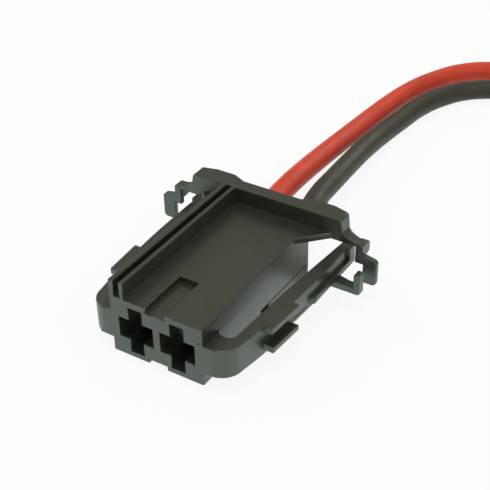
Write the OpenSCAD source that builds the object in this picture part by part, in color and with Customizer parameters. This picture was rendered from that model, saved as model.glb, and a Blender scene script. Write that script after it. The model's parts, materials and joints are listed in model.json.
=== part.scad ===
// Two-way cable connector housing with sprung side bows, its contacts, lock and leads.
// Millimetres. The mating face looks along -Y, the leads leave along +Y, and the feet stand on z = 0.

/* [Core] */
// Width of the core block
core_w = 11.06; // [10.6:0.02:12]
// Height of the floor above the feet
core_h = 7.05; // [6.9:0.01:7.4]
// Length of the core, from the mating face to its rear face
core_len = 20.85; // [20.4:0.05:21.4]
// Width of the channel between the feet
foot_gap = 2.2; // [1:0.1:4]
// Height of the feet
foot_h = 0.5; // [0.2:0.05:0.6]
// Width of the coding recess in the floor
recess_w = 2.25; // [1:0.05:4]
// Length of the coding recess
recess_len = 6.05; // [3:0.05:9]
// Depth of the coding recess
recess_depth = 0.65; // [0.2:0.05:0.75]

/* [Contact cavities] */
// Distance between the two contacts
pitch = 5; // [4.8:0.01:5.2]
// Height of the contacts' centre
contact_z = 3.45; // [3.4:0.01:3.6]
// Width of a cavity
cavity_w = 4.08; // [3.8:0.01:4.2]
// Height of a cavity at its mouth
cavity_h = 2.36; // [2.2:0.01:2.5]
// Width of the upright slot that makes the mouth a cross
slot_w = 1.6; // [1:0.05:2]
// Height of the upright slot
slot_h = 5.5; // [4.5:0.05:5.6]
// Depth of the upright slot
slot_depth = 8; // [3:0.1:10]
// Width of the wire duct behind the contact
duct_w = 3.4; // [3:0.05:3.8]
// Top of the wire duct above the contact's centre
duct_up = 1.55; // [1.5:0.01:1.8]

/* [Guide wall] */
// Thickness of the raised wall on the left
wall_t = 1.78; // [1.6:0.01:2.2]
// Width of the rail groove in the wall
groove_w = 0.66; // [0.4:0.01:0.9]
// Thickness of the wall outside the groove
groove_skin = 0.6; // [0.4:0.01:0.9]
// Height of the groove's bottom above the floor
groove_step = 0.05; // [0.02:0.01:0.6]

/* [Flange] */
// Top of the flange and of the guide wall
top_z = 8.97; // [8.6:0.01:9.6]
// Where the flange's front face stands
flange_y = 20.66; // [20.2:0.02:20.8]
// Underside of the flange
flange_z = 6.3; // [6.1:0.02:6.6]
// Half of the flange's width at its top
flange_half = 9.45; // [9:0.05:9.6]
// How far the flange's ends lean out at their base
flange_lean = 0.3; // [0:0.02:0.6]
// Thickness of the flange behind the core
flange_t = 1.64; // [1.4:0.02:2]
// Extra thickness of the pads on the flange's back
pad_t = 0.7; // [0.3:0.02:1]
// Where a pad is full, measured from the middle
pad_in = 5.2; // [4.8:0.05:5.6]
// Where a pad starts to slope to the flange's end, measured from the middle
pad_out = 7.55; // [6.5:0.05:8]
// Thickness of the flange at its ends
end_t = 1.9; // [1.7:0.02:2.2]
// Length of a gusset between the flange and the core
gusset_y = 2.9; // [1:0.05:4]
// Width of a gusset
gusset_x = 2.75; // [1:0.05:3.5]

/* [Side bows] */
// Top of the bows
bow_top = 5.06; // [4.9:0.01:5.3]
// Underside of the bows at the mating face
bow_low = 1.69; // [1.4:0.01:1.9]
// Underside of the bows behind the latch nubs
bow_low_rear = 2.3; // [2:0.01:2.5]
// Radius of the bows' front corners
bow_r = 2.3; // [1.6:0.05:2.8]
// Half of the width over both bows at their front corners
bow_half = 8.6; // [8.4:0.05:9]
// Half of the width over both bows at their rear ends
bow_half_rear = 9.88; // [9.5:0.02:10.1]
// Thickness of a bow at its front corner
bow_t = 1.08; // [0.9:0.01:1.4]
// Thickness of a bow at its free end
bow_t_rear = 0.93; // [0.8:0.01:1.2]
// Where the free end of a bow stands
bow_len = 22.8; // [22:0.05:22.9]
// Web between the mating face and the slot beside the core
slot_web = 2.3; // [1.5:0.05:2.5]
// Where the finger ledge along a bow's outer side starts
ledge_y = 13.2; // [12:0.1:15]
// Half of the width over both finger ledges
ledge_half = 10.25; // [10.1:0.01:10.4]
// Underside of the finger ledges, on the parting line
ledge_low = 2.88; // [2.8:0.01:3]
// Height of the finger ledges
ledge_h = 0.76; // [0.5:0.01:0.9]
// Length of the block at a bow's free end
grip_len = 1.5; // [1:0.05:2]

/* [Latch nubs] */
// Where a latch nub starts
nub_y = 5.42; // [4.8:0.02:5.8]
// Length of a latch nub
nub_len = 5.1; // [4:0.05:6]
// Half of the width over both nubs at their front
nub_half = 9.98; // [9.7:0.02:10.3]
// How much wider the nubs are at their rear
nub_flare = 0.32; // [0:0.01:0.6]
// How much further out the lower bar of a nub stands
nub_lip = 0.24; // [0:0.01:0.4]
// Underside of the nubs
nub_low = 2.22; // [1.9:0.02:2.4]
// Height of the lower bar of a nub
nub_bar = 0.68; // [0.5:0.02:1]
// Height of the upper bar of a nub
nub_cap = 0.72; // [0.6:0.02:1.3]
// How much further back the upper bar of a nub starts
nub_lead = 0.26; // [0:0.02:0.6]
// How much shorter the lower bar of a nub is at its rear
nub_step = 0.55; // [0:0.05:1]

/* [Stop hooks] */
// Thickness of the flange's shoulders, front to back
shoulder_t = 1.12; // [0.7:0.01:1.3]
// Height of the shoulders above the flange's underside
shoulder_h = 0.65; // [0.5:0.01:0.8]
// How far the top of a shoulder falls towards its end
shoulder_fall = 0.35; // [0:0.01:0.5]
// Thickness of the lobe at a shoulder's end, front to back
lobe_t = 1.8; // [1.4:0.02:2]
// Underside of the lobes
lobe_low = 5; // [4.9:0.02:5.4]
// Thickness of the stop hooks below the shoulders
hook_t = 0.62; // [0.5:0.01:0.7]
// Reach of the flange's shoulders from the middle
shoulder_x = 12.12; // [11.9:0.02:12.3]
// Inner side of the drop under a shoulder, from the middle
drop_x = 11.22; // [11.1:0.01:11.6]
// Reach of the stop hooks from the middle
hook_x = 13.8; // [13.5:0.02:14.2]
// Inner side of a hook's leg, from the middle
leg_x = 12.17; // [12.15:0.01:12.6]
// Bottom of the hooks' legs
leg_low = 1.95; // [1.6:0.01:2.2]
// Underside of a hook's cross bar
bar_low = 4.27; // [4:0.01:4.6]
// Top of a hook's cross bar
bar_top = 5.45; // [5.2:0.01:5.9]
// Front of the catch on the right bow
catch_y = 18; // [17.5:0.05:18.2]
// Length of the catch along the bow
catch_len = 1.15; // [0.9:0.01:1.4]
// Reach of the catch from the middle
catch_x = 13.14; // [12.8:0.02:13.5]
// Thickness of the catch's plate
catch_t = 0.72; // [0.5:0.01:0.8]
// Width of the catch's upright
upright_w = 0.7; // [0.5:0.01:0.9]
// Top of the catch's upright
catch_top = 4.67; // [4.2:0.01:4.9]

/* [Contact lock] */
// Height of the lock, from the table to the floor of the wire ducts
lock_h = 2; // [1.8:0.01:2.02]
// Where the lock's slot starts
lock_slot_y = 10.8; // [10.7:0.05:11.2]
// Gap in front of the lock's plate when it is home
lock_travel = 1.6; // [1.2:0.05:2]
// Thickness of the rail of the core beside the lock
lock_rail = 0.95; // [0.6:0.01:1.2]
// Thickness of the core's rear wall behind the lock
lock_rear = 0.7; // [0.5:0.01:1]
// Running clearance of the lock and of the contacts
clearance = 0.05; // [0.02:0.01:0.08]

/* [Leads] */
// Diameter of a lead over its insulation
lead_d = 2.4; // [2.2:0.05:2.4]
// Diameter of a lead's bare strands
strand_d = 1.5; // [1.2:0.05:1.6]
// Length of the bare strands at a lead's far end
strand_len = 5; // [3:0.5:8]

/* [Hidden] */
$fn = 48;
cut = 0.5;
core_half = core_w / 2;
flange_back = flange_y + flange_t;
depth = flange_back + pad_t;
lock_y = lock_slot_y + lock_travel;
lock_end = core_len - lock_rear;
lock_top = lock_h + clearance;
lock_left = -core_half + lock_rail;
duct_y = lock_slot_y;
end_back = flange_y + end_t;
grip_block_y = bow_len - grip_len;
edge_r = 0.2;
seam = 0.12;

// Contact: a box with a blade mouth, a raised neck, a conductor crimp and a grip on the lead
contact_y = 3;
contact_end = duct_y - clearance;
contact_w = cavity_w - 2 * clearance;
contact_h = cavity_h - 2 * clearance;
contact_low = contact_z - contact_h / 2;
blade_w = 3;
blade_h = 0.9;
blade_depth = 5;
sheet_t = 0.2;
neck_w = 1.7;
neck_low = contact_low + 0.5;
strand_y = 12.9;
lead_y = 15.4;
grip_y = 16.2;
grip_end = 18.4;
grip_r = lead_d / 2 + 0.01;

// The route of each lead, from its crimp to its coil, in the finished frame
red_route = [[-2.5, 3.9, 3.45], [-2.5, 9.4, 3.45], [-2.75, 13, 3.4], [-3.3, 17, 3.25],
    [-3.75, 21, 3], [-4.05, 25, 2.65], [-4.3, 30, 2.15], [-4.4, 35, 1.7], [-4.35, 40, 1.35],
    [-4.1, 45, 1.2], [-3.6, 50, 1.2], [-2.75, 54.6, 1.2], [-1.2, 59, 1.2], [1.2, 62.9, 1.2],
    [4.6, 65.6, 1.2], [9.2, 67.1, 1.2], [14.5, 67.5, 1.2], [19.5, 67.3, 1.2], [24.5, 67.15, 1.2],
    [29, 67.15, 1.2]];
black_route = [[2.5, 3.9, 3.45], [2.5, 9.4, 3.45], [2.15, 13, 3.4], [1.4, 17, 3.25],
    [0.65, 21, 3], [0.1, 25, 2.65], [-0.4, 30, 2.15], [-0.75, 35, 1.7], [-0.7, 40, 1.35],
    [-0.3, 45, 1.2], [0.4, 50, 1.2], [1.8, 54.3, 1.2], [4.1, 57.8, 1.2], [7.2, 60.1, 1.2],
    [11.2, 62.3, 1.2], [15.5, 63.8, 1.2], [20, 64.5, 1.2], [24.5, 64.7, 1.2], [29, 64.7, 1.2]];

// Each lead ends in one turn, the black one's inside the red one's, and in its bare strands
coil_at = [29, 52.7, lead_d / 2];
red_coil = [14.45, 217];
black_coil = [12, 297];
tube_sides = 8;

// Turns a profile in X and Z into a bar from y0 to y1
module along_y(y0, y1) {
    translate([0, y1, 0]) rotate([90, 0, 0]) linear_extrude(y1 - y0) children();
}

// Turns a profile in Y and Z into a bar from x0 to x1
module along_x(x0, x1) {
    translate([x0, 0, 0]) rotate([90, 0, 90]) linear_extrude(x1 - x0) children();
}

// Lifts a plan in X and Y to a plate from z0 to z1
module along_z(z0, z1) {
    translate([0, 0, z0]) linear_extrude(z1 - z0) children();
}

// A flat rectangle between two corners
module pane(x0, y0, x1, y1) {
    translate([x0, y0]) square([x1 - x0, y1 - y0]);
}

// The same with round corners
module round_pane(x0, y0, x1, y1, r) {
    pane(x0 + r, y0, x1 - r, y1);
    pane(x0, y0 + r, x1, y1 - r);
    for (x = [x0 + r, x1 - r], y = [y0 + r, y1 - r]) translate([x, y]) circle(r);
}

// A shape and its mirror image on the other side of the core
module both_sides() {
    children();
    mirror([1, 0, 0]) children();
}

// Moves a piece from the mating face's frame to the finished frame
module seated() {
    translate([0, -depth / 2, 0]) children();
}

// Half of the width over the bows, from their front corners to their free ends
function bow_out(y) = let (u = max(0, min(1, (y - bow_r) / (grip_block_y - bow_r))))
    bow_half + (bow_half_rear - bow_half) * (1 - pow(1 - u, 2.6));
slot_out = bow_half - bow_t;
function bow_in(y) = slot_out + (bow_half_rear - bow_t_rear - slot_out)
    * pow(max(0, y - bow_r) / (bow_len - bow_r), 1.4);
slot_r = (slot_out - core_half) / 2;

// Plan of the right bow: a round front corner, then a side that leans out to its free end
module bow_plan() {
    steps = [for (i = [0 : 12]) bow_r + (bow_len - bow_r) * i / 12];
    difference() {
        union() {
            pane(core_half - cut, 0, bow_half - bow_r, bow_r);
            translate([bow_half - bow_r, bow_r]) circle(bow_r);
            polygon(concat([[core_half - cut, bow_r]], [for (y = steps) [bow_out(y), y]],
                [[core_half - cut, bow_len]]));
        }
        translate([core_half + slot_r, slot_web + slot_r]) circle(slot_r);
        polygon(concat([[0, slot_web + slot_r], [slot_out, slot_web + slot_r]],
            [for (y = steps) if (y > slot_web + slot_r) [bow_in(y), y]],
            [[bow_in(bow_len), bow_len + cut], [0, bow_len + cut]]));
        pane(0, 0, core_half - cut, bow_len);
    }
}

// Side view of a bow: its underside rises behind the latch nub
module bow_side() {
    polygon([[0, bow_low], [nub_y, bow_low], [nub_y + nub_len, bow_low_rear],
        [bow_len, bow_low_rear], [bow_len, bow_top], [0, bow_top]]);
}

// Plan of one bar of a latch nub, which leans out towards its rear end
module nub_plan(start, end, extra) {
    front_x = nub_half + extra;
    polygon([[bow_out(start) - cut, start], [front_x, start], [front_x + nub_flare, end],
        [bow_out(end) - cut, end]]);
}

// Latch nub: an upper and a lower bar with a slot between them
module nub() {
    along_z(bow_top - nub_cap, bow_top) nub_plan(nub_y + nub_lead, nub_y + nub_len, 0);
    along_z(nub_low, nub_low + nub_bar) nub_plan(nub_y, nub_y + nub_len - nub_step, nub_lip);
}

// Finger ledge along the rear half of a bow, and the block that ends it
module finger_ledge() {
    ramp = ledge_half - bow_out(ledge_y);
    top = ledge_low + ledge_h;
    along_z(ledge_low, top) polygon([[bow_half_rear - cut, ledge_y - cut],
        [bow_out(ledge_y) - seam, ledge_y - cut], [bow_out(ledge_y) - seam, ledge_y - seam],
        [ledge_half, ledge_y + ramp * 1.2], [ledge_half, bow_len], [bow_half_rear - cut, bow_len]]);
    along_z(top - cut, bow_top)
        round_pane(bow_half_rear - 2 * cut, grip_block_y, ledge_half, bow_len, edge_r);
}

// Fine line left by the mould along a bow's side, from the nub to the finger ledge
module parting_line() {
    steps = [nub_y + nub_len - nub_step, ledge_y - seam];
    along_z(ledge_low - seam / 2, ledge_low + seam / 2) polygon([[bow_out(steps[0]) - seam, steps[0]],
        [hook_x, steps[0]], [hook_x, steps[1]], [bow_out(steps[1]) - seam, steps[1]]]);
}

module bow() {
    difference() {
        intersection() {
            along_z(0, top_z) bow_plan();
            along_x(0, hook_x) bow_side();
        }
        parting_line();
    }
    nub();
    finger_ledge();
}

// Catch on the right bow: a plate that stands out, with an upright at its end
module bow_catch() {
    plate_low = bow_low_rear - 0.05;
    root = bow_half_rear - bow_t_rear / 2;
    reach = (bow_half_rear + catch_x) / 2;
    corner = 0.3;
    along_z(plate_low, plate_low + catch_t) {
        pane(root, catch_y, catch_x - corner, catch_y + catch_len);
        pane(root, catch_y + corner, catch_x, catch_y + catch_len);
        translate([catch_x - corner, catch_y + corner]) circle(corner);
        polygon([[root, catch_y + catch_len - cut], [reach, catch_y + catch_len - cut],
            [reach, catch_y + catch_len], [bow_half_rear + corner, catch_y + catch_len + corner],
            [root, catch_y + 2 * catch_len]]);
    }
    along_z(plate_low, catch_top) {
        pane(catch_x - upright_w, catch_y, catch_x - corner, catch_y + catch_len);
        pane(catch_x - upright_w, catch_y + corner, catch_x, catch_y + catch_len);
        translate([catch_x - corner, catch_y + corner]) circle(corner);
    }
}

// Shoulder and stop hook on the flange's end: out, down, out again and down to the leg's foot
module stop_hook() {
    chamfer = 0.3;
    web_z = flange_z + shoulder_h;
    root = flange_half - cut;
    lobe_r = 0.55;
    end_z = web_z - shoulder_fall;
    tip = flange_half + flange_lean;
    intersection() {
        along_z(flange_z, top_z) polygon([[root, flange_y], [drop_x + cut, flange_y],
            [drop_x + cut, flange_y + shoulder_t], [tip + 0.9, flange_y + shoulder_t + 0.15],
            [tip + 0.2, end_back - 0.4], [root, end_back - 0.4]]);
        along_y(flange_y - cut, depth) polygon([[root, web_z + 0.5], [tip, web_z + 0.5],
            [tip + 0.2, web_z + 0.2], [tip + 0.6, web_z], [drop_x + cut, end_z],
            [drop_x + cut, flange_z], [root, flange_z]]);
    }
    along_y(flange_y, flange_y + hook_t) {
        pane(drop_x, bar_low, shoulder_x, flange_z);
        polygon([[drop_x, bar_low], [leg_x, bar_low], [leg_x, leg_low],
            [hook_x - chamfer, leg_low], [hook_x, leg_low + chamfer],
            [hook_x, bar_top - 2 * chamfer], [hook_x - chamfer, bar_top - chamfer],
            [shoulder_x, bar_top], [drop_x, bar_top]]);
    }
    along_x(drop_x, shoulder_x) {
        pane(flange_y, lobe_low + lobe_r, flange_y + lobe_t, end_z - lobe_r);
        pane(flange_y, lobe_low, flange_y + lobe_t - lobe_r, end_z);
        for (z = [lobe_low + lobe_r, end_z - lobe_r]) translate([flange_y + lobe_t - lobe_r, z])
            circle(lobe_r);
    }
}

// Flange across the back, with a pad on each side and ends that lean out
module flange() {
    round_r = 0.5;
    tip = flange_half + flange_lean;
    intersection() {
        along_z(flange_z, top_z) {
            pane(-tip, flange_y, tip, end_back - round_r);
            pane(-tip + round_r, flange_y, tip - round_r, flange_back);
            both_sides() {
                translate([tip - round_r, end_back - round_r]) circle(round_r);
                polygon([[pad_in - 1.6, flange_back], [pad_in, depth], [pad_out, depth],
                    [tip - round_r, end_back], [tip - round_r, flange_y + cut],
                    [pad_in, flange_y + cut]]);
            }
        }
        along_y(flange_y - cut, depth + cut) {
            polygon([[-tip, flange_z], [tip, flange_z], [tip, core_h], [flange_half, top_z - edge_r],
                [flange_half - edge_r, top_z], [-flange_half + edge_r, top_z],
                [-flange_half, top_z - edge_r], [-tip, core_h]]);
        }
    }
}

// Thin gusset in the corner between the core's side and the flange
module gusset() {
    along_z(flange_z, core_h) polygon([[core_half - cut, flange_y - gusset_y],
        [core_half, flange_y - gusset_y], [core_half + gusset_x, flange_y],
        [core_half + gusset_x, flange_y + cut], [core_half - cut, flange_y + cut]]);
}

// Core block with small rounds along its lower edges, and the guide wall on its left
module core() {
    along_y(0, core_len) round_pane(-core_half, 0, core_half, core_h, edge_r);
    along_y(0, core_len) pane(-core_half, core_h / 2, core_half, core_h);
    along_y(0, flange_y + cut) pane(-core_half, core_h - cut, -core_half + wall_t, top_z);
}

// Everything that is cut out of the core
module core_hollows() {
    for (side = [-1, 1]) translate([side * pitch / 2, 0, contact_z]) {
        along_y(-cut, duct_y + cut) pane(-cavity_w / 2, -cavity_h / 2, cavity_w / 2, cavity_h / 2);
        along_y(-cut, slot_depth) pane(-slot_w / 2, -slot_h / 2, slot_w / 2, slot_h / 2);
        along_y(duct_y, core_len + cut)
            pane(-duct_w / 2, lock_top + 2 * clearance - contact_z, duct_w / 2, duct_up);
        along_y(lock_slot_y, lock_end)
            pane(-duct_w / 2, lock_h - cut - contact_z, duct_w / 2, duct_up);
    }
    along_y(-cut, core_len + cut) pane(-foot_gap / 2, -cut, foot_gap / 2, foot_h);
    along_y(-cut, recess_len) pane(-recess_w / 2, core_h - recess_depth, recess_w / 2, top_z);
    along_y(lock_slot_y, lock_end + clearance) pane(lock_left - clearance, -cut, core_w, lock_top);
    groove_left = -core_half + groove_skin;
    along_y(-cut, flange_y)
        pane(groove_left, core_h + groove_step, groove_left + groove_w, top_z + cut);
    // moulding pit beside the right mouth
    translate([pitch, 0, 1.5 * contact_z]) rotate([90, 0, 0]) cylinder(d = 0.26, h = 0.3, center = true);
}

// The whole moulding
module housing() {
    color([0.13, 0.13, 0.12]) seated() {
        difference() {
            core();
            core_hollows();
        }
        flange();
        both_sides() {
            gusset();
            stop_hook();
            bow();
        }
        bow_catch();
    }
}

// Plate that slides in below the ducts: its noses stand behind the contacts' boxes
module contact_lock() {
    nose_y = lock_slot_y + clearance;
    color([0.16, 0.16, 0.15]) seated() {
        difference() {
            along_z(0, lock_h) pane(lock_left, lock_y, core_half, lock_end);
            along_y(0, core_len) pane(-foot_gap / 2, -cut, foot_gap / 2, foot_h);
        }
        for (side = [-1, 1]) translate([side * pitch / 2, 0, 0])
            along_z(lock_h - cut, neck_low - clearance)
                pane(-slot_w / 2, nose_y, slot_w / 2, strand_y - 2 * clearance);
    }
}

// Stamped contact: box with a blade mouth and a rib, raised neck, crimp barrel and wire grip
module terminal() {
    base = contact_z - grip_r - sheet_t;
    difference() {
        union() {
            along_y(contact_y, contact_end) round_pane(-contact_w / 2, contact_low,
                contact_w / 2, contact_low + contact_h, edge_r);
            along_y(contact_y + 1, slot_depth - 2 * clearance)
                pane(-slot_w / 4, contact_z, slot_w / 4, contact_low + contact_h + 3 * sheet_t);
        }
        along_y(contact_y - cut, contact_y + blade_depth)
            pane(-blade_w / 2, contact_z - blade_h / 2, blade_w / 2, contact_z + blade_h / 2);
    }
    along_y(contact_end - cut, strand_y + cut) difference() {
        pane(-neck_w / 2, neck_low, neck_w / 2, contact_z + 2 * sheet_t);
        pane(-neck_w / 2 + sheet_t, neck_low + sheet_t, neck_w / 2 - sheet_t, top_z);
    }
    along_y(strand_y, lead_y) {
        translate([0, contact_z]) circle(d = strand_d + 2 * sheet_t);
        pane(-neck_w / 2, base, neck_w / 2, contact_z);
    }
    along_y(lead_y - cut, grip_end) pane(-neck_w / 3, base, neck_w / 3, base + sheet_t);
    along_y(grip_y, grip_end) difference() {
        translate([0, contact_z]) circle(r = grip_r + sheet_t);
        translate([0, contact_z]) circle(r = grip_r);
    }
}

module terminal_left() {
    color([0.72, 0.72, 0.7]) seated() translate([-pitch / 2, 0, 0]) terminal();
}

module terminal_right() {
    color([0.72, 0.72, 0.7]) seated() translate([pitch / 2, 0, 0]) terminal();
}

// Direction of a route at one of its points
function unit(v) = v / norm(v);
function heading(route, i) = let (n = len(route) - 1)
    unit(route[min(i + 1, n)] - route[max(i - 1, 0)]);

// Tube swept along a route's own points
module tube(route, d) {
    rings = [for (i = [0 : len(route) - 1])
        let (t = heading(route, i), side = unit(cross(t, [0, 0, 1])), up = cross(side, t))
        for (k = [0 : tube_sides - 1]) let (a = 360 * (k + 0.5) / tube_sides)
            route[i] + d / 2 * (side * cos(a) + up * sin(a))];
    last = len(route) - 1;
    walls = [for (i = [0 : last - 1], k = [0 : tube_sides - 1])
        let (a = i * tube_sides + k, b = i * tube_sides + (k + 1) % tube_sides)
        each [[a, b, b + tube_sides], [a, b + tube_sides, a + tube_sides]]];
    near_cap = [for (k = [tube_sides - 1 : -1 : 0]) k];
    far_cap = [for (k = [0 : tube_sides - 1]) last * tube_sides + k];
    polyhedron(points = rings, faces = concat([near_cap], walls, [far_cap]), convexity = 4);
}

module wire_red() {
    color([0.8, 0.08, 0.06]) tube(red_route, lead_d);
}

module wire_black() {
    color([0.08, 0.08, 0.08]) tube(black_route, lead_d);
}

// One turn of a lead, clockwise from where its route ends
module coil(turn) {
    translate(coil_at) rotate([0, 0, 90 - turn[1]]) rotate_extrude(angle = turn[1])
        translate([turn[0], 0]) circle(d = lead_d);
}

module coil_red() {
    color([0.8, 0.08, 0.06]) coil(red_coil);
}

module coil_black() {
    color([0.08, 0.08, 0.08]) coil(black_coil);
}

// Bare strands that lead straight on from the end of a turn
module strands(turn) {
    translate(coil_at) rotate([0, 0, 90 - turn[1]]) translate([turn[0], 0, 0])
        rotate([90, 0, 0]) cylinder(d = strand_d, h = strand_len);
}

module strands_red() {
    color([0.75, 0.42, 0.25]) strands(red_coil);
}

module strands_black() {
    color([0.75, 0.42, 0.25]) strands(black_coil);
}

housing();
contact_lock();
terminal_left();
terminal_right();
wire_red();
wire_black();
coil_red();
coil_black();
strands_red();
strands_black();
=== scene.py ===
"""Dresses a two-way wire to board connector housing: moulded housing and contact lock,
stamped contacts, two stranded leads, a white table and soft studio light. Metres."""

import json
import math

import bpy
from bpy.props import FloatProperty, FloatVectorProperty, PointerProperty
from mathutils import Matrix, Vector

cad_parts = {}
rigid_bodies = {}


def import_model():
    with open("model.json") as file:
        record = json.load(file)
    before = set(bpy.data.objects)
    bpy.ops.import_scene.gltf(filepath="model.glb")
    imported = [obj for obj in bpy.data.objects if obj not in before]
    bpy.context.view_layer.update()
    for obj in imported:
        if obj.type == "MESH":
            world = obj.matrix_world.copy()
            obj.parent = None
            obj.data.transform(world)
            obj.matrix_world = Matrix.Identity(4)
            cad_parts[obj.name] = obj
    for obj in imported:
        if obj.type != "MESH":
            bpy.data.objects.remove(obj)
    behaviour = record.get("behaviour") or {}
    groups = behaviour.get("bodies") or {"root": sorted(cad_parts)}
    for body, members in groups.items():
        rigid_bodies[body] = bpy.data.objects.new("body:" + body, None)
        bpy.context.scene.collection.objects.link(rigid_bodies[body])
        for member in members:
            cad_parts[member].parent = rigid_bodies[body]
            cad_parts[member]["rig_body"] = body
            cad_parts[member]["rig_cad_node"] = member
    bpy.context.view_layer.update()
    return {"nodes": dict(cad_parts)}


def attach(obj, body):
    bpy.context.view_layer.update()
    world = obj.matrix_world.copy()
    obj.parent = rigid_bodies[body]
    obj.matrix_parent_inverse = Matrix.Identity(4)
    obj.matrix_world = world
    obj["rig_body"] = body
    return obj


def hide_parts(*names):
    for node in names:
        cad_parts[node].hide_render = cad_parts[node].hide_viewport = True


bl_info = {
    "name": "Connector housing dresser",
    "version": (1, 0, 0),
    "blender": (4, 5, 0),
    "location": "View3D > Sidebar > Connector",
    "description": "Builds the looks of a wire to board connector housing on its packed solids",
    "category": "Object",
}

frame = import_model()

# Each lead's route from its crimp to its turn: the part's own points, moved by 0.3 mm at most
RED_ROUTE = [
    (-0.0025, 0.0039, 0.00345), (-0.0025, 0.0094, 0.00345), (-0.00275, 0.013, 0.0034),
    (-0.0033, 0.017, 0.00325), (-0.0037, 0.021, 0.003), (-0.00395, 0.025, 0.00265),
    (-0.00415, 0.03, 0.00215), (-0.0042, 0.035, 0.0017), (-0.00415, 0.04, 0.00135),
    (-0.0039, 0.045, 0.0012), (-0.0034, 0.05, 0.0012), (-0.00255, 0.0545, 0.0012),
    (-0.001, 0.0588, 0.0012), (0.0013, 0.0627, 0.0012), (0.0047, 0.0654, 0.0012),
    (0.0092, 0.0669, 0.0012), (0.0145, 0.06735, 0.0012), (0.0195, 0.06725, 0.0012),
    (0.0245, 0.06715, 0.0012), (0.029, 0.06715, 0.0012),
]
BLACK_ROUTE = [
    (0.0025, 0.0039, 0.00345), (0.0025, 0.0094, 0.00345), (0.00215, 0.013, 0.0034),
    (0.0014, 0.017, 0.00325), (0.0006, 0.021, 0.003), (0.0002, 0.025, 0.00265),
    (-0.0003, 0.03, 0.00215), (-0.00067, 0.035, 0.0017), (-0.00065, 0.04, 0.00135),
    (-0.00028, 0.045, 0.0012), (0.0004, 0.05, 0.0012), (0.0018, 0.0542, 0.0012),
    (0.0041, 0.0578, 0.0012), (0.0072, 0.0601, 0.0012), (0.0112, 0.0623, 0.0012),
    (0.0155, 0.0638, 0.0012), (0.02, 0.0645, 0.0012), (0.0245, 0.0647, 0.0012),
    (0.029, 0.0647, 0.0012),
]
COIL_CENTRE = (0.029, 0.0527)
RED_TURN = (0.01445, 217)  # radius, degrees clockwise
BLACK_TURN = (0.012, 297)
TURN_STEP = 12  # degrees between two points of a turn
LEAD_HEIGHT = 0.00345  # where the leads leave the core
CRIMP_END = 0.0072
CRIMP_DIAMETER = 0.0024  # of a lead in its crimp, and of the solid lead from end to end

# The bare strands: one in the middle and two rings round it, as distance out and number
STRAND_RINGS = ((0, 1), (0.00031, 6), (0.0006, 12))
STRAND_RADIUS = 0.00015
STRAND_LENGTH = 0.005
STRAND_ROOT = 0.0002  # how deep they start inside the insulation
STRAND_STEPS = 6
STRAND_TWIST = 1.4  # radians over their length
STRAND_PINCH = 0.10  # how much closer they lie at their tips

# Camera: place, and its right, down and forward directions
CAMERA_PLACE = (0.052579, -0.076807, 0.073126)
CAMERA_AXES = (
    (0.84804248, 0.52962577, -0.01790239),
    (0.29141476, -0.49429993, -0.81899024),
    (-0.44260748, 0.68932149, -0.57352811),
)
CAMERA_LENS = 80.50

# Lights: name, degrees round from the front to the right, degrees up, side, power, colour
LIGHTS = (
    ("ceiling", 0, 88, 0.20, 0.85, (1.0, 0.98, 0.92)),
    ("front_soft", 35, 35, 0.20, 0.32, (0.97, 1.0, 1.0)),
    ("right_soft", 90, 40, 0.30, 0.42, (0.97, 1.0, 0.98)),
    ("left_low", -90, 16, 0.40, 1.05, (0.97, 1.0, 0.95)),
    ("back_low", 180, 14, 0.20, 0.45, (0.97, 1.0, 0.95)),
    ("back_left", -135, 40, 0.30, 0.03, (1.0, 0.98, 0.92)),
)
LIGHT_DISTANCE = 0.5
LIGHT_AIM = (0, 0, 0.004)
ROOM_COLOUR = (1.0, 0.90, 0.78, 1)
WHITE = (1, 1, 1, 1)
TABLE_SIDE = 3
TABLE_GLOW = 0.88  # share of plain white that the camera sees on the table

# Painted shade on the table's glow: the distances at which full painted shade ends and plain table
# starts
CORE_MIDDLE = -0.0011
CORE_SHADE_ACROSS = (0.0050, 0.0056)
CORE_SHADE_ALONG = (0.0092, 0.0100)
FLANGE_MIDDLE = 0.0110
FLANGE_SHADE_ALONG = (0.0022, 0.0036)
FLANGE_SHADE_OUTSIDE = (0.0115, 0.0130)
FLANGE_SHADE_INSIDE = (0.0055, 0.0070)

# Rounding of the moulded edges
FACE_SHARES = 2.2  # a face holds a round on each side and a narrow flat strip between them
HOLLOW_SHARE = 0.25  # width of the round in a hollow corner
LEAST_SHARE = 0.12  # narrower rounds are left off
FOLLOWS_ON = -0.7  # edges that meet at a flatter corner than this cosine are of one line or arc
TINY = 1e-9


# ---------------------------------------------------------------- settings


class HousingSettings(bpy.types.PropertyGroup):
    plastic_colour: FloatVectorProperty(
        name="Plastic colour", description="Colour of the moulded housing",
        subtype="COLOR", size=3, min=0, max=1, default=(0.020, 0.021, 0.016))
    lock_colour: FloatVectorProperty(
        name="Lock colour", description="Colour of the contact lock",
        subtype="COLOR", size=3, min=0, max=1, default=(0.023, 0.024, 0.019))
    edge_round: FloatProperty(
        name="Edge round", description="Width of the small round on every moulded edge",
        unit="LENGTH", default=0.0001, min=0.00002, max=0.0003)
    roughness: FloatProperty(
        name="Roughness", description="Roughness of the moulded faces",
        subtype="FACTOR", default=0.34, min=0, max=1)


class ContactSettings(bpy.types.PropertyGroup):
    metal_colour: FloatVectorProperty(
        name="Metal colour", description="Colour of the plated contacts",
        subtype="COLOR", size=3, min=0, max=1, default=(0.62, 0.60, 0.56))
    edge_round: FloatProperty(
        name="Edge round", description="Width of the round on the stamped edges",
        unit="LENGTH", default=0.00004, min=0.00001, max=0.0001)


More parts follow.
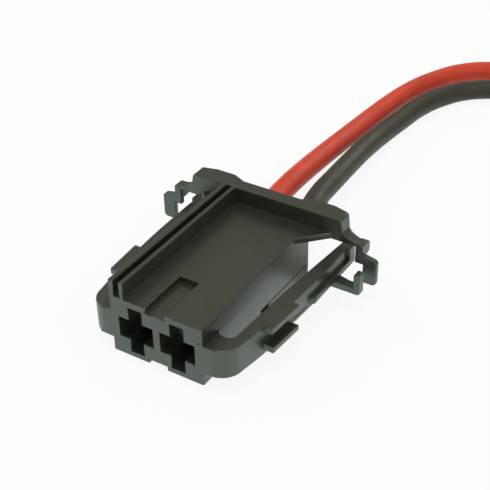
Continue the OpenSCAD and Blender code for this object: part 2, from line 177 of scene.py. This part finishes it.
class LeadSettings(bpy.types.PropertyGroup):
    diameter: FloatProperty(
        name="Diameter", description="Diameter of a lead over its insulation",
        unit="LENGTH", default=0.0027, min=0.0024, max=0.0027)
    red_colour: FloatVectorProperty(
        name="Red insulation", description="Colour of the red lead",
        subtype="COLOR", size=3, min=0, max=1, default=(0.62, 0.056, 0.025))
    black_colour: FloatVectorProperty(
        name="Black insulation", description="Colour of the black lead",
        subtype="COLOR", size=3, min=0, max=1, default=(0.039, 0.041, 0.028))
    copper_colour: FloatVectorProperty(
        name="Copper", description="Colour of the bare strands",
        subtype="COLOR", size=3, min=0, max=1, default=(0.78, 0.36, 0.20))


class StageSettings(bpy.types.PropertyGroup):
    floor_colour: FloatVectorProperty(
        name="Table colour", description="Colour of the table",
        subtype="COLOR", size=3, min=0, max=1, default=(0.93, 0.93, 0.93))
    light_share: FloatProperty(
        name="Light", description="Share of the studio lights' full power",
        subtype="FACTOR", default=1.0, min=0, max=3)
    room_light: FloatProperty(
        name="Room light", description="Strength of the plain light from all round",
        default=0.34, min=0, max=1)


# ---------------------------------------------------------------- materials


class Finish:
    """One node material, with short words for the nodes it is made of."""

    def __init__(self, name):
        self.material = bpy.data.materials.new(name)
        self.material.use_nodes = True
        self.nodes = self.material.node_tree.nodes
        self.links = self.material.node_tree.links
        self.shader = self.nodes["Principled BSDF"]
        self.column = -300

    def node(self, kind, **values):
        """A new node, with values for its inputs or its own settings."""
        made = self.nodes.new(kind)
        made.location = (self.column, 200)
        self.column -= 180
        for key, value in values.items():
            if key in made.inputs:
                made.inputs[key].default_value = value
            else:
                setattr(made, key, value)
        return made

    def link(self, source, target):
        self.links.new(source, target)

    def set(self, **values):
        """Sets plain values on the finish itself."""
        for key, value in values.items():
            name = key.replace("_", " ")
            self.shader.inputs[name].default_value = value

    def paint(self, result, input_name):
        """Leads a node's result into one input of the finish."""
        self.link(result, self.shader.inputs[input_name])

    def place(self, scale=(1, 1, 1)):
        """The place on the piece, in metres along its own axes."""
        where = self.node("ShaderNodeTexCoord")
        mapping = self.node("ShaderNodeMapping", Scale=scale)
        self.link(where.outputs["Object"], mapping.inputs["Vector"])
        return mapping.outputs["Vector"]

    def noise(self, vector, scale, detail=2.0, roughness=0.5):
        made = self.node("ShaderNodeTexNoise", Scale=scale, Detail=detail, Roughness=roughness)
        self.link(vector, made.inputs["Vector"])
        return made.outputs["Fac"]

    def blend(self, factor, dark, light):
        """One colour up to 0.3 and the other from 0.7 on."""
        made = self.node("ShaderNodeValToRGB")
        for element, place, colour in zip(made.color_ramp.elements, (0.3, 0.7), (dark, light)):
            element.position = place
            element.color = (*colour, 1.0)
        self.link(factor, made.inputs["Fac"])
        return made.outputs["Color"]

    def levels(self, factor, low, high, start=0.0, end=1.0):
        """Goes from low to high while the factor goes from start to end, and stays there."""
        made = self.node("ShaderNodeMapRange")
        made.inputs["From Min"].default_value = start
        made.inputs["From Max"].default_value = end
        made.inputs["To Min"].default_value = low
        made.inputs["To Max"].default_value = high
        self.link(factor, made.inputs["Value"])
        return made.outputs["Result"]

    def join(self, operation, one, two=None):
        """The result of one sum on two nodes' results or plain numbers."""
        made = self.node("ShaderNodeMath", operation=operation)
        for source, socket in ((one, made.inputs[0]), (two, made.inputs[1])):
            if isinstance(source, float):
                socket.default_value = source
            elif source is not None:
                self.link(source, socket)
        return made.outputs["Value"]

    def bump(self, height, strength, distance, before=None):
        made = self.node("ShaderNodeBump", Strength=strength, Distance=distance)
        self.link(height, made.inputs["Height"])
        if before is not None:
            self.link(before, made.inputs["Normal"])
        return made.outputs["Normal"]


def shade(colour, factor):
    """A colour made darker or lighter."""
    return tuple(min(1.0, c * factor) for c in colour)


def moulded_plastic(name, colour, roughness):
    """Satin black moulding: fine eroded grain, faint flow clouds, uneven gloss."""
    finish = Finish(name)
    finish.set(IOR=1.55, Specular_IOR_Level=1.0, Specular_Tint=(0.78, 1.0, 0.84, 1))
    spot = finish.place()
    clouds = finish.noise(spot, scale=420, detail=3, roughness=0.6)
    finish.paint(finish.blend(clouds, shade(colour, 0.86), shade(colour, 1.16)), "Base Color")
    patches = finish.noise(spot, scale=900, detail=4, roughness=0.55)
    finish.paint(finish.levels(patches, roughness - 0.07, roughness + 0.08, start=0.25, end=0.75),
                 "Roughness")
    waves = finish.noise(spot, scale=700, detail=1)
    grain = finish.noise(spot, scale=14000, roughness=0.6)
    coarse = finish.bump(waves, strength=0.07, distance=0.0002)
    finish.paint(finish.bump(grain, strength=0.16, distance=0.00003, before=coarse), "Normal")
    return finish.material


def plated_metal(name, colour):
    """Tin plating with fine rolling lines and duller patches."""
    finish = Finish(name)
    finish.set(Metallic=1.0)
    lines = finish.noise(finish.place(scale=(1, 0.08, 1)), scale=16000, detail=3, roughness=0.6)
    patches = finish.noise(finish.place(), scale=1500, detail=3, roughness=0.55)
    finish.paint(finish.blend(patches, shade(colour, 0.82), shade(colour, 1.08)), "Base Color")
    finish.paint(finish.levels(lines, 0.28, 0.46, start=0.3, end=0.7), "Roughness")
    finish.paint(finish.bump(lines, strength=0.12, distance=0.00002), "Normal")
    return finish.material


def insulation(name, colour, roughness=0.46):
    """Extruded soft insulation: clouded colour, a fine pitted skin and uneven gloss."""
    finish = Finish(name)
    finish.set(IOR=1.5, Specular_IOR_Level=0.3)
    spot = finish.place()
    clouds = finish.noise(spot, scale=260, detail=3, roughness=0.6)
    finish.paint(finish.blend(clouds, shade(colour, 0.88), shade(colour, 1.1)), "Base Color")
    patches = finish.noise(spot, scale=1200, detail=3, roughness=0.6)
    finish.paint(finish.levels(patches, roughness - 0.06, roughness + 0.08, start=0.3, end=0.7),
                 "Roughness")
    pits = finish.noise(spot, scale=5200, roughness=0.55)
    finish.paint(finish.bump(pits, strength=0.12, distance=0.00004), "Normal")
    return finish.material


def bare_copper(name, colour):
    """Drawn copper strands, a little dulled."""
    finish = Finish(name)
    finish.set(Metallic=1.0)
    spot = finish.place()
    patches = finish.noise(spot, scale=2600, detail=3, roughness=0.6)
    finish.paint(finish.blend(patches, shade(colour, 0.7), shade(colour, 1.05)), "Base Color")
    finish.paint(finish.levels(patches, 0.25, 0.42, start=0.3, end=0.7), "Roughness")
    lines = finish.noise(spot, scale=20000)
    finish.paint(finish.bump(lines, strength=0.1, distance=0.00001), "Normal")
    return finish.material


def painted_shade_masks(finish):
    """Two masks of painted shade over the table, 0 in the painted shade and 1 on plain table: one
    for the shade right under the core, one for the shade below the flange's ends."""
    where = finish.node("ShaderNodeSeparateXYZ")
    finish.link(finish.place(), where.inputs["Vector"])
    across = finish.join("ABSOLUTE", where.outputs["X"])

    def along(middle):
        return finish.join("ABSOLUTE", finish.join("SUBTRACT", where.outputs["Y"], middle))

    core = finish.join("MAXIMUM", finish.levels(across, 0, 1, *CORE_SHADE_ACROSS),
                       finish.levels(along(CORE_MIDDLE), 0, 1, *CORE_SHADE_ALONG))
    beside = finish.join("MAXIMUM", finish.levels(across, 0, 1, *FLANGE_SHADE_OUTSIDE),
                         finish.levels(across, 1, 0, *FLANGE_SHADE_INSIDE))
    flange = finish.join("MAXIMUM", beside,
                         finish.levels(along(FLANGE_MIDDLE), 0, 1, *FLANGE_SHADE_ALONG))
    return core, flange


def table_card(name, colour):
    """Matt white card with a faint tooth. It shows plain white, with a faint shadow left. To glossy
    rays it glows plain white too, a painted reflection of a lit table. Right under the core both
    glows are held off, a painted shade, and its reflection is painted dark where the flange's ends
    would shade it."""
    finish = Finish(name)
    finish.set(Roughness=0.9, Specular_IOR_Level=0.1)
    tooth = finish.noise(finish.place(), scale=900, detail=4, roughness=0.6)
    finish.paint(finish.blend(tooth, shade(colour, 0.99), colour), "Base Color")
    finish.paint(finish.bump(tooth, strength=0.05, distance=0.00005), "Normal")
    # The glow: plain white for the camera, and for glossy rays a painted reflection of a lit table
    glow = finish.node("ShaderNodeEmission", Color=WHITE, Strength=1.0)
    seen = finish.node("ShaderNodeLightPath")
    # Painted shade: the glow is held off right under the core, and in reflections below the flange's
    # ends
    painted_core_shade_mask, painted_flange_shade_mask = painted_shade_masks(finish)
    shown = finish.join("MAXIMUM", finish.levels(seen.outputs["Is Camera Ray"], 0, TABLE_GLOW),
                        finish.join("MULTIPLY", seen.outputs["Is Glossy Ray"], painted_flange_shade_mask))
    mix = finish.node("ShaderNodeMixShader")
    finish.link(finish.join("MULTIPLY", shown, painted_core_shade_mask), mix.inputs["Fac"])
    finish.link(finish.shader.outputs["BSDF"], mix.inputs[1])
    finish.link(glow.outputs["Emission"], mix.inputs[2])
    finish.link(mix.outputs["Shader"], finish.nodes["Material Output"].inputs["Surface"])
    return finish.material


# ---------------------------------------------------------------- helpers


def only(piece):
    """Leaves one piece selected and active, in object mode."""
    if bpy.context.object and bpy.context.object.mode != "OBJECT":
        bpy.ops.object.mode_set(mode="OBJECT")
    bpy.ops.object.select_all(action="DESELECT")
    piece.select_set(True)
    bpy.context.view_layer.objects.active = piece


def give(piece, material):
    """Gives a piece one material, in place of any that it has."""
    piece.data.materials.clear()
    piece.data.materials.append(material)


def fit(piece, slot, material, *nodes):
    """Puts a finished piece on the body, with its material, in place of its nodes."""
    give(piece, material)
    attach(piece, "root")
    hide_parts(*nodes)


def apply_modifiers(piece):
    """Makes a piece's modifiers part of its mesh, in their order."""
    only(piece)
    for modifier in list(piece.modifiers):
        bpy.ops.object.modifier_apply(modifier=modifier.name)


def corner_room(mesh, edge, end, face, sharp):
    """Widest round that fits at one end of an edge, in one of its faces."""
    vertices = list(face.vertices)
    at = vertices.index(edge.vertices[end])
    other = edge.vertices[1 - end]
    before, after = vertices[at - 1], vertices[(at + 1) % len(vertices)]
    neighbour = after if before == other else before
    corner = mesh.vertices[edge.vertices[end]].co
    along = mesh.vertices[other].co - corner
    side = mesh.vertices[neighbour].co - corner
    turn = along.cross(side).dot(face.normal) * (1 if after == other else -1)
    if turn <= 0 or min(along.length, side.length) < TINY:
        return math.inf
    angle = along.angle(side)
    if tuple(sorted((edge.vertices[end], neighbour))) in sharp:
        return min(along.length, side.length) * math.tan(angle / 2) / FACE_SHARES
    if angle < math.radians(150):
        return side.length * math.sin(angle) / FACE_SHARES
    return math.inf


def inward(mesh, edge, face):
    """The direction in a face, square to one of its edges, that points into the face."""
    a, b = (mesh.vertices[v].co for v in edge.vertices)
    across = face.normal.cross((b - a).normalized())
    vertices = list(face.vertices)
    follows = vertices[(vertices.index(edge.vertices[0]) + 1) % len(vertices)]
    return across if follows == edge.vertices[1] else -across


def far_room(mesh, edge, face):
    """Widest round that fits between an edge and the edges across a face from it."""
    a, b = (mesh.vertices[v].co for v in edge.vertices)
    along, across = (b - a).normalized(), inward(mesh, edge, face)
    vertices = list(face.vertices)
    places = [mesh.vertices[v].co - a for v in vertices]
    flat = [(place.dot(along), place.dot(across)) for place in places]
    room = math.inf
    for share in (0.1, 0.5, 0.9):
        x = (b - a).length * share
        for i, (x0, y0) in enumerate(flat):
            after = (i + 1) % len(flat)
            x1, y1 = flat[after]
            touches = {vertices[i], vertices[after]} & set(edge.vertices)
            if touches or (x0 - x) * (x1 - x) > 0 or abs(x1 - x0) < TINY:
                continue
            y = y0 + (y1 - y0) * (x - x0) / (x1 - x0)
            if y > 100 * TINY:
                room = min(room, y / FACE_SHARES)
    return room


def weigh_edges(mesh, width, angle):
    """Gives every sharp edge the share of the round's width that its faces have room for, and
    less in a hollow corner. Edges that follow each other in a line or an arc share the smallest
    of their widths."""
    weights = mesh.attributes.new("bevel_weight_edge", "FLOAT", "EDGE")
    faces_of = {}
    for face in mesh.polygons:
        for key in face.edge_keys:
            faces_of.setdefault(key, []).append(face)
    sharp = {}
    for edge in mesh.edges:
        faces = faces_of[edge.key]
        if len(faces) == 2 and faces[0].normal.angle(faces[1].normal, 0) >= angle:
            sharp[edge.key] = edge
    room, at_vertex = {}, {}
    for key, edge in sharp.items():
        hollow = inward(mesh, edge, faces_of[key][1]).dot(faces_of[key][0].normal) > 0
        room[key] = width * (HOLLOW_SHARE if hollow else 1)
        for face in faces_of[key]:
            room[key] = min(room[key], far_room(mesh, edge, face),
                            corner_room(mesh, edge, 0, face, sharp),
                            corner_room(mesh, edge, 1, face, sharp))
        for v in key:
            at_vertex.setdefault(v, []).append(key)

    def away(key, v):
        other = key[0] if key[1] == v else key[1]
        return (mesh.vertices[other].co - mesh.vertices[v].co).normalized()

    leader = {key: key for key in sharp}

    def lead(key):
        while leader[key] != key:
            key = leader[key]
        return key

    for v, keys in at_vertex.items():
        for i, one in enumerate(keys):
            for two in keys[i + 1:]:
                if away(one, v).dot(away(two, v)) < FOLLOWS_ON:
                    leader[lead(two)] = lead(one)
    least = {}
    for key in sharp:
        least[lead(key)] = min(least.get(lead(key), width), room[key])
    for key, edge in sharp.items():
        share = least[lead(key)] / width
        weights.data[edge.index].value = share if share > LEAST_SHARE else 0.0


def moulded_copy(node, name, width, angle=28):
    """A merged copy of a solid, with every sharp edge rounded as far as its faces allow."""
    only(frame["nodes"][node])
    bpy.ops.object.duplicate()
    piece = bpy.context.object
    piece.name = name
    piece.parent = None
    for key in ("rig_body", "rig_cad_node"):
        if key in piece:
            del piece[key]
    bpy.ops.object.mode_set(mode="EDIT")
    bpy.ops.mesh.select_all(action="SELECT")
    bpy.ops.mesh.remove_doubles(threshold=1e-6)
    bpy.ops.mesh.dissolve_limited(angle_limit=math.radians(0.5))
    bpy.ops.object.mode_set(mode="OBJECT")
    weigh_edges(piece.data, width, math.radians(angle))
    bevel = piece.modifiers.new("edges", "BEVEL")
    bevel.width = width
    bevel.segments = 2
    bevel.limit_method = "WEIGHT"
    bevel.use_clamp_overlap = False
    apply_modifiers(piece)
    bpy.ops.object.shade_smooth_by_angle(angle=math.radians(50))
    even = piece.modifiers.new("even", "WEIGHTED_NORMAL")
    even.keep_sharp = True
    even.weight = 100
    apply_modifiers(piece)
    return piece


# ---------------------------------------------------------------- housing and lock


class CONNECTOR_OT_housing(bpy.types.Operator):
    """Rounds the edges of the moulded housing and gives it its satin plastic"""

    bl_idname = "connector.housing"
    bl_label = "Housing"

    def execute(self, context):
        look = context.scene.connector_housing
        shell = moulded_copy("housing", "housing_shell", look.edge_round)
        fit(shell, "housing_plastic",
            moulded_plastic("housing_plastic", look.plastic_colour, look.roughness), "housing")
        return {"FINISHED"}


class CONNECTOR_OT_lock(bpy.types.Operator):
    """Rounds the edges of the contact lock and gives it its plastic"""

    bl_idname = "connector.lock"
    bl_label = "Contact lock"

    def execute(self, context):
        look = context.scene.connector_housing
        shell = moulded_copy("contact_lock", "lock_shell", look.edge_round * 0.6)
        fit(shell, "lock_plastic",
            moulded_plastic("lock_plastic", look.lock_colour, look.roughness + 0.04), "contact_lock")
        return {"FINISHED"}


# ---------------------------------------------------------------- contacts


class CONNECTOR_OT_contacts(bpy.types.Operator):
    """Finishes both stamped contacts in plated metal"""

    bl_idname = "connector.contacts"
    bl_label = "Contacts"

    def execute(self, context):
        look = context.scene.connector_contacts
        metal = plated_metal("plated_metal", look.metal_colour)
        for side in ("left", "right"):
            shell = moulded_copy("terminal_" + side, "contact_" + side, look.edge_round)
            fit(shell, "contact_metal", metal, "terminal_" + side)
        return {"FINISHED"}


# ---------------------------------------------------------------- leads


def lead_points(route, turn, diameter):
    """A lead's route, laid on the table by its own thickness, and then its turn, clockwise."""
    points = []
    for x, y, z in route:
        share = (LEAD_HEIGHT - z) / (LEAD_HEIGHT - CRIMP_DIAMETER / 2)
        points.append(Vector((x, y, z + share * (diameter - CRIMP_DIAMETER) / 2)))
    points.insert(1, Vector((route[0][0], CRIMP_END, LEAD_HEIGHT)))
    radius, degrees = turn
    count = math.ceil(degrees / TURN_STEP)
    for i in range(1, count + 1):
        points.append(turn_place(radius, degrees * i / count, diameter))
    return points


def turn_place(radius, degrees, diameter):
    """A place on a lead's turn, so many degrees clockwise from where the turn starts."""
    angle = math.radians(90 - degrees)
    x, y = COIL_CENTRE
    return Vector((x + radius * math.cos(angle), y + radius * math.sin(angle), diameter / 2))


def lead_curve(name, points, diameter):
    """A lead as one smooth open curve through its points, squeezed in its crimp."""
    data = bpy.data.curves.new(name, "CURVE")
    data.dimensions = "3D"
    data.resolution_u = 8
    data.render_resolution_u = 8
    data.bevel_depth = diameter / 2
    data.bevel_resolution = 7
    data.use_fill_caps = True
    spline = data.splines.new("BEZIER")
    spline.bezier_points.add(len(points) - 1)
    for point, place in zip(spline.bezier_points, points):
        point.co = place
        point.radius = CRIMP_DIAMETER / diameter if place.y <= CRIMP_END else 1.0
        point.handle_left_type = point.handle_right_type = "AUTO"
    piece = bpy.data.objects.new(name, data)
    bpy.context.scene.collection.objects.link(piece)
    return piece


def strand_bundle(name, turn, diameter):
    """Nineteen fine copper strands that lead straight on from a turn's end."""
    radius, degrees = turn
    angle = math.radians(90 - degrees)
    start = turn_place(radius, degrees, diameter)
    ahead = Vector((math.sin(angle), -math.cos(angle), 0))
    across = Vector((math.cos(angle), math.sin(angle), 0))
    rise = Vector((0, 0, 1))
    made = []
    for out, count in STRAND_RINGS:
        for k in range(count):
            data = bpy.data.curves.new(name, "CURVE")
            data.dimensions = "3D"
            data.bevel_depth = STRAND_RADIUS
            data.bevel_resolution = 2
            data.use_fill_caps = True
            spline = data.splines.new("POLY")
            spline.points.add(STRAND_STEPS)
            for i, point in enumerate(spline.points):
                share = i / STRAND_STEPS
                twist = 2 * math.pi * k / count + STRAND_TWIST * share
                loose = out * (1 - STRAND_PINCH * share)
                place = (start + ahead * (STRAND_LENGTH * share - STRAND_ROOT * (1 - share))
                         + across * loose * math.cos(twist) + rise * loose * math.sin(twist))
                point.co = (*place, 1)
            piece = bpy.data.objects.new(name, data)
            bpy.context.scene.collection.objects.link(piece)
            made.append(piece)
    bpy.ops.object.select_all(action="DESELECT")
    for piece in made:
        piece.select_set(True)
    bpy.context.view_layer.objects.active = made[0]
    bpy.ops.object.convert(target="MESH")
    bpy.ops.object.join()
    bundle = bpy.context.object
    bundle.name = name
    bpy.ops.object.shade_smooth_by_angle(angle=math.radians(40))
    return bundle


def build_lead(name, route, turn, diameter, colour, copper):
    """One lead with its bare strands: a cord that starts in its crimp."""
    lead = lead_curve("lead_" + name, lead_points(route, turn, diameter), diameter)
    slot = name + "_insulation"
    fit(lead, slot, insulation(slot, colour), "wire_" + name, "coil_" + name)
    strands = strand_bundle("bare_strands_" + name, turn, diameter)
    fit(strands, "copper_strands", copper, "strands_" + name)


class CONNECTOR_OT_leads(bpy.types.Operator):
    """Lays both stranded leads from their crimps to their turns"""

    bl_idname = "connector.leads"
    bl_label = "Leads"

    def execute(self, context):
        look = context.scene.connector_leads
        copper = bare_copper("copper_strands", look.copper_colour)
        build_lead("red", RED_ROUTE, RED_TURN, look.diameter, look.red_colour, copper)
        build_lead("black", BLACK_ROUTE, BLACK_TURN, look.diameter, look.black_colour, copper)
        return {"FINISHED"}


# ---------------------------------------------------------------- stage


def area_light(name, place, size, power, colour):
    """A square soft light, turned to the housing."""
    light = bpy.data.lights.new(name, "AREA")
    light.shape = "SQUARE"
    light.size = size
    light.energy = power
    light.color = colour
    lamp = bpy.data.objects.new(name, light)
    lamp.location = place
    lamp.rotation_euler = (Vector(LIGHT_AIM) - place).to_track_quat("-Z", "Y").to_euler()
    bpy.context.scene.collection.objects.link(lamp)


def studio_lights(share):
    """Places every light of the table at its bearing and height, at one distance."""
    for name, bearing, height, size, power, colour in LIGHTS:
        turn, up = math.radians(bearing), math.radians(height)
        direction = Vector((math.sin(turn) * math.cos(up), -math.cos(turn) * math.cos(up),
                            math.sin(up)))
        area_light(name, LIGHT_DISTANCE * direction, size, power * share, colour)


def white_world(strength):
    """Warm soft light from all round, plain white behind the table for the camera."""
    world = bpy.data.worlds.new("soft_room")
    world.use_nodes = True
    nodes, links = world.node_tree.nodes, world.node_tree.links
    room = nodes["Background"]
    room.inputs["Color"].default_value = ROOM_COLOUR
    room.inputs["Strength"].default_value = strength
    seen = nodes.new("ShaderNodeBackground")
    seen.inputs["Color"].default_value = WHITE
    seen.inputs["Strength"].default_value = 1.0
    path = nodes.new("ShaderNodeLightPath")
    mix = nodes.new("ShaderNodeMixShader")
    links.new(path.outputs["Is Camera Ray"], mix.inputs["Fac"])
    links.new(room.outputs["Background"], mix.inputs[1])
    links.new(seen.outputs["Background"], mix.inputs[2])
    links.new(mix.outputs["Shader"], nodes["World Output"].inputs["Surface"])
    bpy.context.scene.world = world


def set_camera():
    """The camera, from its place and its three directions."""
    data = bpy.data.cameras.new("camera")
    data.sensor_width = 36
    data.lens = CAMERA_LENS
    data.clip_start = 0.005
    data.clip_end = 10
    camera = bpy.data.objects.new("camera", data)
    bpy.context.scene.collection.objects.link(camera)
    right, down, ahead = (Vector(axis) for axis in CAMERA_AXES)
    turned = Matrix((right, -down, -ahead)).transposed().to_4x4()
    camera.matrix_world = Matrix.Translation(CAMERA_PLACE) @ turned
    bpy.context.scene.camera = camera


class CONNECTOR_OT_stage(bpy.types.Operator):
    """Lays the white table, the soft lights and the camera"""

    bl_idname = "connector.stage"
    bl_label = "Stage"

    def execute(self, context):
        look = context.scene.connector_stage
        bpy.ops.object.select_all(action="DESELECT")
        bpy.ops.mesh.primitive_plane_add(size=1, location=(0, 0, 0))
        table = context.object
        table.name = "table"
        bpy.ops.object.mode_set(mode="EDIT")
        bpy.ops.mesh.select_all(action="SELECT")
        bpy.ops.transform.resize(value=(TABLE_SIDE, TABLE_SIDE, 1))
        bpy.ops.mesh.subdivide(number_cuts=3)
        bpy.ops.object.mode_set(mode="OBJECT")
        give(table, table_card("table_card", look.floor_colour))
        studio_lights(look.light_share)
        white_world(look.room_light)
        set_camera()
        context.scene.view_settings.view_transform = "Standard"
        return {"FINISHED"}


# ---------------------------------------------------------------- panel and run


class CONNECTOR_PT_panel(bpy.types.Panel):
    bl_idname = "CONNECTOR_PT_panel"
    bl_label = "Connector housing"
    bl_space_type = "VIEW_3D"
    bl_region_type = "UI"
    bl_category = "Connector"

    def draw(self, context):
        layout = self.layout
        for title, group, operators in PARTS:
            box = layout.box()
            box.label(text=title)
            settings = getattr(context.scene, group)
            for name in settings.__annotations__:
                box.prop(settings, name)
            for operator in operators:
                box.operator(operator)


PARTS = (
    ("Housing", "connector_housing", ("connector.housing", "connector.lock")),
    ("Contacts", "connector_contacts", ("connector.contacts",)),
    ("Leads", "connector_leads", ("connector.leads",)),
    ("Stage", "connector_stage", ("connector.stage",)),
)
GROUPS = {
    "connector_housing": HousingSettings,
    "connector_contacts": ContactSettings,
    "connector_leads": LeadSettings,
    "connector_stage": StageSettings,
}
CLASSES = (
    HousingSettings, ContactSettings, LeadSettings, StageSettings,
    CONNECTOR_OT_housing, CONNECTOR_OT_lock, CONNECTOR_OT_contacts, CONNECTOR_OT_leads,
    CONNECTOR_OT_stage, CONNECTOR_PT_panel,
)


def register():
    for cls in CLASSES:
        bpy.utils.register_class(cls)
    for name, group in GROUPS.items():
        setattr(bpy.types.Scene, name, PointerProperty(type=group))


def unregister():
    for name in GROUPS:
        delattr(bpy.types.Scene, name)
    for cls in reversed(CLASSES):
        bpy.utils.unregister_class(cls)


def main():
    register()
    bpy.ops.connector.stage()
    bpy.ops.connector.leads()
    bpy.ops.connector.housing()
    bpy.ops.connector.lock()
    bpy.ops.connector.contacts()


if __name__ == "__main__":
    main()
